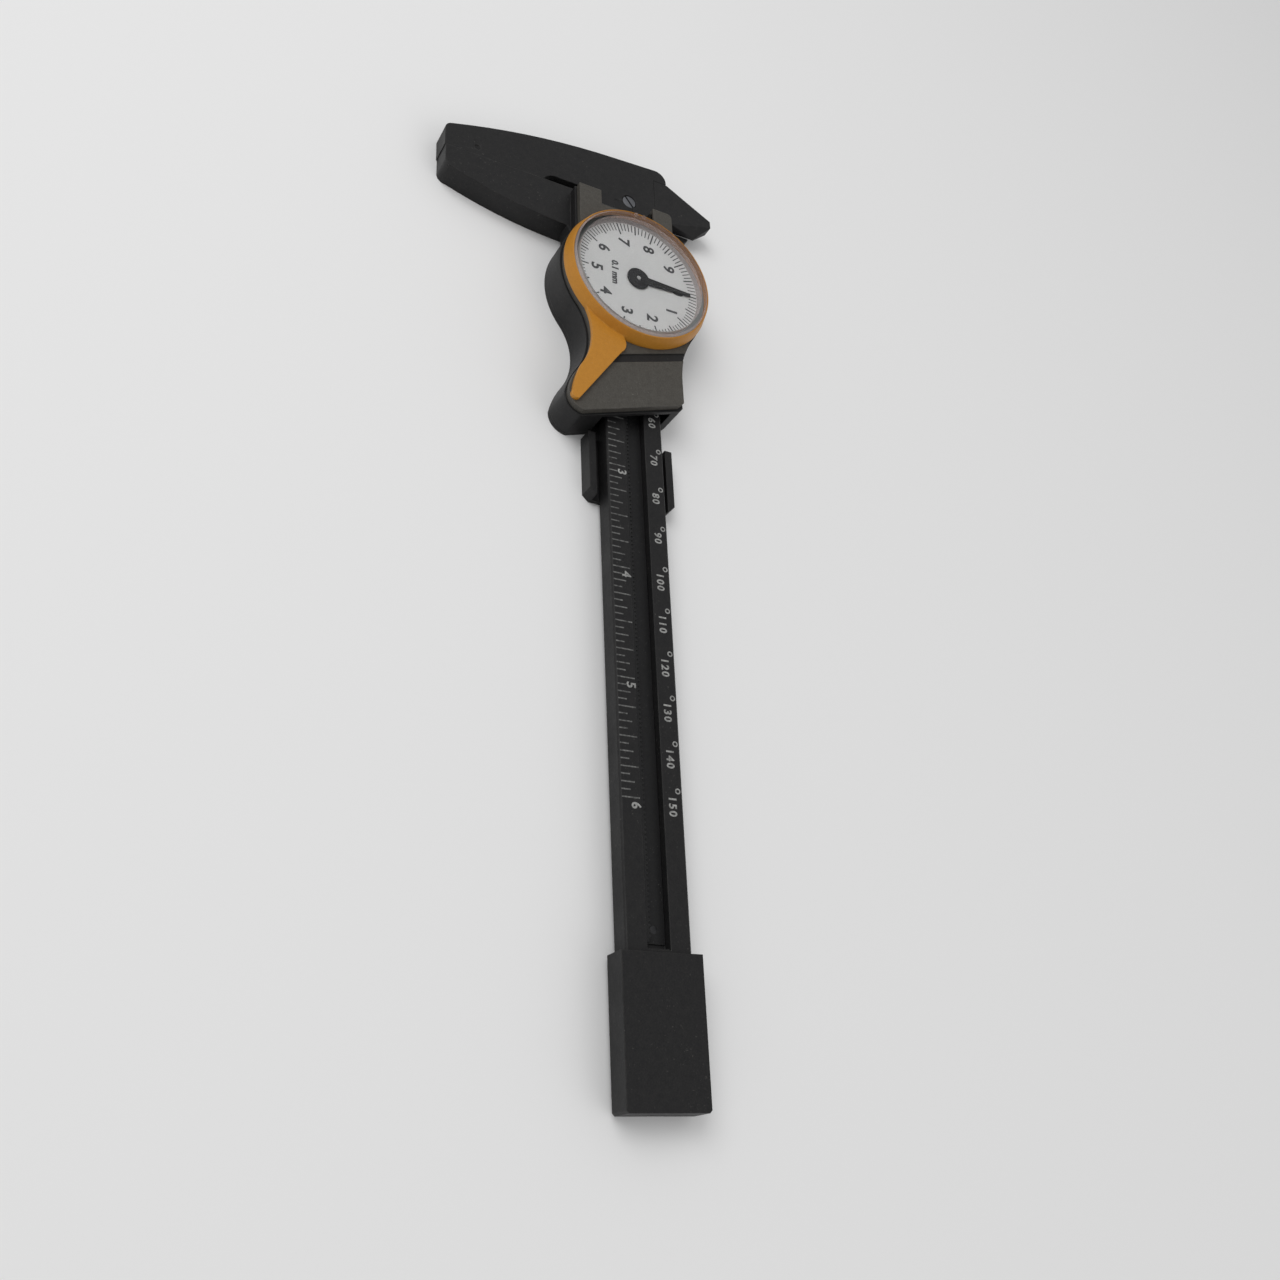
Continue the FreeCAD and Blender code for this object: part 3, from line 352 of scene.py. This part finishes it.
darkSteelLook = {
    "dark": (0.035, 0.036, 0.038), "light": (0.07, 0.07, 0.072), "worn": (0.2, 0.2, 0.2),
    "lineScale": 1100.0, "stretch": 8.0, "roughness": 0.42, "bump": 0.00001, "wearAmount": 0.3,
}
platedSteelLook = {
    "dark": (0.13, 0.134, 0.145), "light": (0.24, 0.245, 0.26), "worn": (0.36, 0.36, 0.37),
    "lineScale": 1000.0, "stretch": 7.0, "roughness": 0.4, "bump": 0.00001, "wearAmount": 0.4,
}
springSteelLook = {
    "dark": (0.22, 0.23, 0.26), "light": (0.42, 0.43, 0.46), "worn": (0.62, 0.62, 0.63),
    "lineScale": 1500.0, "stretch": 6.0, "roughness": 0.24, "bump": 0.000008, "wearAmount": 0.4,
}
brassLook = {
    "dark": (0.5, 0.33, 0.11), "light": (0.74, 0.53, 0.22), "worn": (0.86, 0.68, 0.36),
    "lineScale": 1300.0, "stretch": 7.0, "roughness": 0.3, "bump": 0.00001, "wearAmount": 0.5,
}


# Clear plastic, faintly tinted on its walls and its bevelled rim. Looked at from behind, the
# inner wall carries a painted reflection: a pale grey in place of the dial's edge mirrored there
crystalLook = {
    "colour": (0.97, 0.975, 0.98), "wallColour": (0.62, 0.52, 0.5),
    "paintedReflectionColour": (0.56, 0.55, 0.54), "index": 1.22, "wallAlpha": 0.36, "paintedReflectionAlpha": 0.82,
    "paintedReflectionRadius": 16.6, "wallRoughness": 0.4, "flatSlope": 0.95, "wallSlope": 0.85,
    "touchScale": 140.0, "touchAmount": 0.5, "smudgeRoughness": 0.05,
    "rippleScale": 120.0, "rippleDetail": 2, "ripple": 0.000006,
}


def crystalMaterial(name, look):
    material, tree, shader = startMaterial(name)
    touch = placeGroup(tree, handling, Scale=look["touchScale"], Amount=look["touchAmount"])
    shader.inputs["IOR"].default_value = look["index"]
    geometry = addNode(tree, "ShaderNodeNewGeometry")
    split = addNode(tree, "ShaderNodeSeparateXYZ")
    tree.links.new(geometry.outputs["True Normal"], split.inputs[0])
    slope = mathNode(tree, "ABSOLUTE", split.outputs["Z"])
    wall = rangeNode(tree, slope, look["flatSlope"], look["wallSlope"])
    place = addNode(tree, "ShaderNodeSeparateXYZ")
    tree.links.new(addNode(tree, "ShaderNodeTexCoord").outputs["Object"], place.inputs[0])
    squares = []
    for axis, centre in (("X", dialCentre.x), ("Y", dialCentre.y)):
        offset = mathNode(tree, "SUBTRACT", place.outputs[axis], centre)
        squares.append(mathNode(tree, "POWER", offset, 2.0))
    radius = mathNode(tree, "SQRT", mathNode(tree, "ADD", *squares))
    # Painted reflection: the inner wall seen from behind is coloured pale grey and made mostly
    # opaque
    inner = mathNode(tree, "LESS_THAN", radius, look["paintedReflectionRadius"] * mm)
    paintedReflection = mathNode(tree, "MULTIPLY", inner, geometry.outputs["Backfacing"])
    tint = mixColours(tree, paintedReflection, look["wallColour"], look["paintedReflectionColour"])
    tree.links.new(mixColours(tree, wall, look["colour"], tint), shader.inputs["Base Color"])
    tree.links.new(rangeNode(tree, wall, 0.0, 1.0, 1.0, 0.0), shader.inputs["Transmission Weight"])
    solid = rangeNode(tree, paintedReflection, 0.0, 1.0, look["wallAlpha"], look["paintedReflectionAlpha"])
    tree.links.new(rangeNode(tree, wall, 0.0, 1.0, 1.0, solid), shader.inputs["Alpha"])
    smudge = mathNode(tree, "MULTIPLY", touch.outputs["Smudge"], look["smudgeRoughness"])
    frost = mathNode(tree, "MULTIPLY", wall, look["wallRoughness"])
    tree.links.new(mathNode(tree, "MAXIMUM", frost, smudge), shader.inputs["Roughness"])
    ripple = noiseNode(tree, look["rippleScale"], look["rippleDetail"])
    addBump(tree, shader, ripple, look["ripple"])
    return material


blackPlastic = plasticMaterial("blackPlastic", blackPlasticLook)
greyPlastic = plasticMaterial("greyPlastic", greyPlasticLook)
rackPlastic = plasticMaterial("rackPlastic", rackPlasticLook)
yellowPlastic = plasticMaterial("yellowPlastic", yellowPlasticLook)
dialWhite = plasticMaterial("dialWhite", dialWhiteLook)
nylon = plasticMaterial("whiteNylon", nylonLook)
pointerPaint = plasticMaterial("pointerPaint", pointerLook)
whiteInk = plasticMaterial("whiteInk", whiteInkLook)
faintInk = plasticMaterial("faintInk", faintInkLook)
blackInk = plasticMaterial("blackInk", blackInkLook)
steel = metalMaterial("turnedSteel", steelLook)
darkSteel = metalMaterial("darkSteel", darkSteelLook)
platedSteel = metalMaterial("platedSteel", platedSteelLook)
springSteel = metalMaterial("springSteel", springSteelLook)
brass = metalMaterial("satinBrass", brassLook)
clearCrystal = crystalMaterial("clearCrystal", crystalLook)
print("materials built")

# Which finish each part has, and how far its edges are rounded, in millimetres
partFinish = {
    "beam": (blackPlastic, 0.22), "end_foot": (blackPlastic, 0.35),
    "rack_strip": (rackPlastic, 0), "slider_frame": (blackPlastic, 0.25),
    "slider_back_plate": (blackPlastic, 0.2), "depth_rod": (blackPlastic, 0.12),
    "slider_cover": (greyPlastic, 0.25), "bezel_ring": (yellowPlastic, 0.18),
    "gib_strip": (nylon, 0.1), "gib_spring": (springSteel, 0), "rack_screw": (platedSteel, 0.1),
    "rack_rivet": (darkSteel, 0.05), "foot_pins": (steel, 0.05),
    "back_plate_screws": (steel, 0.05), "depth_rod_rivet": (steel, 0.05),
    "bridge_screws": (steel, 0.05), "take_up_post": (steel, 0), "pinion_staff": (steel, 0),
    "hairspring": (springSteel, 0), "hairspring_stud": (brass, 0), "lower_bush": (brass, 0.05),
    "upper_bush": (brass, 0.05), "movement_bridge": (brass, 0.1), "take_up_wheel": (brass, 0),
    "pointer": (pointerPaint, 0.05), "dial_face": (dialWhite, 0.05),
    "crystal": (clearCrystal, 0.1),
}
weldDistance = 0.000002
edgeAngle = math.radians(32)
edgeSegments = 2


def dressPart(name, material, edge):
    part = nodes[name]
    part.data.materials.clear()
    part.data.materials.append(material)
    for polygon in part.data.polygons:
        polygon.material_index = 0
    weld = part.modifiers.new("weld", "WELD")
    weld.merge_threshold = weldDistance
    if edge:
        bevel = part.modifiers.new("softEdges", "BEVEL")
        bevel.width = edge * mm
        bevel.segments = edgeSegments
        bevel.limit_method = "ANGLE"
        bevel.angle_limit = edgeAngle
        bevel.use_clamp_overlap = True
        bevel.face_strength_mode = "FSTR_ALL"
    else:
        crease = part.modifiers.new("sharpEdges", "EDGE_SPLIT")
        crease.split_angle = edgeAngle
    part.data.shade_smooth()
    flat = part.modifiers.new("flatFaces", "WEIGHTED_NORMAL")
    flat.keep_sharp = True
    flat.use_face_influence = bool(edge)


for name, (material, edge) in partFinish.items():
    dressPart(name, material, edge)
nodes["crystal"].visible_shadow = False
print("parts dressed:", len(partFinish))


def addPiece(name, mesh, material, body):
    piece = bpy.data.objects.new(name, mesh)
    bpy.context.scene.collection.objects.link(piece)
    mesh.materials.clear()
    mesh.materials.append(material)
    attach(piece, body)
    return piece


# Flat shapes of ink are gathered here and lifted into one thin mesh
def inkMesh(name, shapes, bottom, thickness):
    builder = bmesh.new()
    for shape in shapes:
        builder.faces.new([builder.verts.new((x, y, bottom)) for x, y in shape])
    lifted = bmesh.ops.extrude_face_region(builder, geom=builder.faces[:])
    raised = [item for item in lifted["geom"] if isinstance(item, bmesh.types.BMVert)]
    bmesh.ops.translate(builder, verts=raised, vec=(0, 0, thickness))
    bmesh.ops.recalc_face_normals(builder, faces=builder.faces[:])
    mesh = bpy.data.meshes.new(name)
    builder.to_mesh(mesh)
    builder.free()
    return mesh


def bar(x, y, length, width, angle=0.0):
    along = Vector((math.cos(angle), math.sin(angle)))
    across = Vector((-along.y, along.x)) * width / 2
    start = Vector((x, y))
    end = start + along * length
    return [tuple(start - across), tuple(end - across), tuple(end + across), tuple(start + across)]


def ringQuads(x, y, outer, inner, steps=20):
    quads = []
    for k in range(steps):
        a = 2 * math.pi * k / steps
        b = 2 * math.pi * (k + 1) / steps
        quads.append([(x + outer * math.cos(a), y + outer * math.sin(a)),
                      (x + outer * math.cos(b), y + outer * math.sin(b)),
                      (x + inner * math.cos(b), y + inner * math.sin(b)),
                      (x + inner * math.cos(a), y + inner * math.sin(a))])
    return quads


# Type size for a numeral of height 1
typeSize = 1.38
curveSteps = 3
jointDistance = 0.0000005


# Numerals as raised ink: each word is (text, x, y, height)
def wordsMesh(name, words, bottom, thickness, boldness=0.0):
    builder = bmesh.new()
    for text, x, y, height in words:
        curve = bpy.data.curves.new(name, "FONT")
        curve.body = text
        curve.size = height * typeSize
        curve.align_x = "CENTER"
        curve.align_y = "CENTER"
        curve.extrude = thickness / 2
        curve.offset = boldness
        curve.resolution_u = curveSteps
        holder = bpy.data.objects.new(name, curve)
        bpy.context.scene.collection.objects.link(holder)
        holder.location = (x, y, bottom + thickness / 2)
        bpy.context.view_layer.update()
        solved = holder.evaluated_get(bpy.context.evaluated_depsgraph_get())
        shape = bpy.data.meshes.new_from_object(solved)
        shape.transform(holder.matrix_world)
        builder.from_mesh(shape)
        bpy.data.objects.remove(holder)
        bpy.data.meshes.remove(shape)
    bmesh.ops.remove_doubles(builder, verts=builder.verts[:], dist=jointDistance)
    mesh = bpy.data.meshes.new(name)
    builder.to_mesh(mesh)
    builder.free()
    return mesh


# Rings and numerals every 10 mm, and ticks of 1/16 inch along the other side of the rack
beamInk = {
    "thickness": 0.02 * mm, "ringY": 5.95 * mm, "ringOuter": 0.62 * mm, "ringInner": 0.34 * mm,
    "digitY": 4.55 * mm, "digitHeight": 1.75 * mm, "firstDigit": 1.75 * mm,
    "digitPitch": 1.5 * mm, "lastMillimetre": 150, "millimetreStep": 10, "inch": 25.4 * mm,
    "inches": 6, "parts": 16, "firstTick": 2, "tickStart": -6.75 * mm, "tickWidth": 0.3 * mm,
    "tickLong": 4.0 * mm, "tickMiddle": 3.0 * mm, "tickShort": 2.0 * mm,
    "inchDigitX": 1.55 * mm, "inchDigitY": -3.7 * mm, "inchDigitHeight": 2.1 * mm,
    "boldness": 0.07 * mm,
}


def addBeamScales(look):
    rings = []
    digits = []
    step = look["millimetreStep"]
    for value in range(step, look["lastMillimetre"] + 1, step):
        rings += ringQuads(value * mm, look["ringY"], look["ringOuter"], look["ringInner"])
        for index, letter in enumerate(str(value)):
            x = value * mm + look["firstDigit"] + index * look["digitPitch"]
            digits.append((letter, x, look["digitY"], look["digitHeight"]))
    marks = inkMesh("millimetreMarks", rings, beamTop, look["thickness"])
    addPiece("millimetreMarks", marks, whiteInk, "beam_body")
    numerals = wordsMesh("millimetreNumerals", digits, beamTop, look["thickness"], look["boldness"])
    addPiece("millimetreNumerals", numerals, whiteInk, "beam_body")
    ticks = []
    for index in range(look["firstTick"], look["inches"] * look["parts"] + 1):
        length = look["tickShort"]
        if index % 2 == 0:
            length = look["tickMiddle"]
        if index % 4 == 0:
            length = look["tickLong"]
        x = index * look["inch"] / look["parts"]
        ticks.append(bar(x, look["tickStart"], length, look["tickWidth"], math.pi / 2))
    marks = inkMesh("inchMarks", ticks, beamTop, look["thickness"])
    addPiece("inchMarks", marks, faintInk, "beam_body")
    digits = []
    for inch in range(1, look["inches"] + 1):
        x = inch * look["inch"] + look["inchDigitX"]
        digits.append((str(inch), x, look["inchDigitY"], look["inchDigitHeight"]))
    numerals = wordsMesh("inchNumerals", digits, beamTop, look["thickness"], look["boldness"])
    addPiece("inchNumerals", numerals, whiteInk, "beam_body")


addBeamScales(beamInk)
print("beam scales printed")

# A hundred marks, ten numerals read clockwise, and the unit
dialInk = {
    "thickness": 0.015 * mm, "divisions": 100, "outer": 16.0 * mm, "short": 2.1 * mm,
    "middle": 2.6 * mm, "long": 3.2 * mm, "shortWidth": 0.24 * mm, "longWidth": 0.34 * mm,
    "digitRadius": 10.75 * mm, "digitHeight": 2.9 * mm, "unit": "0.1 mm", "unitRadius": 5.95 * mm,
    "unitHeight": 1.65 * mm, "boldness": 0.12 * mm,
}


def addDialPrint(look):
    ticks = []
    for index in range(look["divisions"]):
        length, width = look["short"], look["shortWidth"]
        if index % 5 == 0:
            length, width = look["middle"], look["longWidth"]
        if index % 10 == 0:
            length = look["long"]
        angle = math.pi / 2 - 2 * math.pi * index / look["divisions"]
        inner = look["outer"] - length
        x = dialCentre.x + inner * math.cos(angle)
        y = dialCentre.y + inner * math.sin(angle)
        ticks.append(bar(x, y, length, width, angle))
    marks = inkMesh("dialMarks", ticks, faceTop, look["thickness"])
    addPiece("dialMarks", marks, blackInk, "dial")
    words = []
    for digit in range(10):
        angle = math.pi / 2 - 2 * math.pi * digit / 10
        words.append((str(digit), dialCentre.x + look["digitRadius"] * math.cos(angle),
                      dialCentre.y + look["digitRadius"] * math.sin(angle), look["digitHeight"]))
    words.append((look["unit"], dialCentre.x, dialCentre.y - look["unitRadius"], look["unitHeight"]))
    numerals = wordsMesh("dialNumerals", words, faceTop, look["thickness"], look["boldness"])
    addPiece("dialNumerals", numerals, blackInk, "dial")


addDialPrint(dialInk)
print("dial printed")

# The photograph's camera, fitted to the marks on the beam's scales
camera = {
    "place": (0.2306, -0.1212, 0.2182), "turn": (26.906, -28.976, 86.901), "lens": 36.43,
    "sensor": 36.0, "shiftX": -0.012, "shiftY": -0.011, "near": 0.01, "far": 20.0,
}


def addCamera(look):
    data = bpy.data.cameras.new("camera")
    data.lens = look["lens"]
    data.sensor_width = look["sensor"]
    data.shift_x = look["shiftX"]
    data.shift_y = look["shiftY"]
    data.clip_start = look["near"]
    data.clip_end = look["far"]
    holder = bpy.data.objects.new("camera", data)
    holder.location = look["place"]
    holder.rotation_euler = [math.radians(angle) for angle in look["turn"]]
    bpy.context.scene.collection.objects.link(holder)
    bpy.context.scene.camera = holder


addCamera(camera)

studio = {
    "floorColour": (0.86, 0.86, 0.86), "floorRoughness": 0.7, "floorSize": 6.0,
    "worldColour": (1.0, 1.0, 1.0), "worldStrength": 0.5,
    "lamps": {
        "key": {"place": (-0.25, -0.52, 0.83), "size": 0.7, "power": 4.5},
        "fill": {"place": (0.75, 0.55, 0.7), "size": 0.8, "power": 1.3},
    },
    "aim": (0.08, 0.0, 0.0),
}


def addStudio(look):
    half = look["floorSize"] / 2
    mesh = bpy.data.meshes.new("floor")
    corners = [(-half, -half, 0), (half, -half, 0), (half, half, 0), (-half, half, 0)]
    mesh.from_pydata(corners, [], [(0, 1, 2, 3)])
    floor = bpy.data.objects.new("floor", mesh)
    bpy.context.scene.collection.objects.link(floor)
    material, tree, shader = startMaterial("paleFloor")
    shader.inputs["Roughness"].default_value = look["floorRoughness"]
    shader.inputs["Base Color"].default_value = (*look["floorColour"], 1.0)
    mesh.materials.append(material)
    world = bpy.data.worlds.new("studio")
    bpy.context.scene.world = world
    world.use_nodes = True
    tree = world.node_tree
    background = tree.nodes["Background"]
    background.inputs["Color"].default_value = (*look["worldColour"], 1.0)
    path = addNode(tree, "ShaderNodeLightPath")
    seen = path.outputs["Is Camera Ray"]
    strength = rangeNode(tree, seen, 0.0, 1.0, look["worldStrength"], 1.0)
    tree.links.new(strength, background.inputs["Strength"])
    for name, lamp in look["lamps"].items():
        data = bpy.data.lights.new(name, "AREA")
        data.energy = lamp["power"]
        data.size = lamp["size"]
        holder = bpy.data.objects.new(name, data)
        holder.location = lamp["place"]
        aim = Vector(look["aim"]) - Vector(lamp["place"])
        holder.rotation_euler = aim.to_track_quat("-Z", "Y").to_euler()
        bpy.context.scene.collection.objects.link(holder)


addStudio(studio)
bpy.context.scene.view_settings.view_transform = "Standard"
print("camera and studio set")
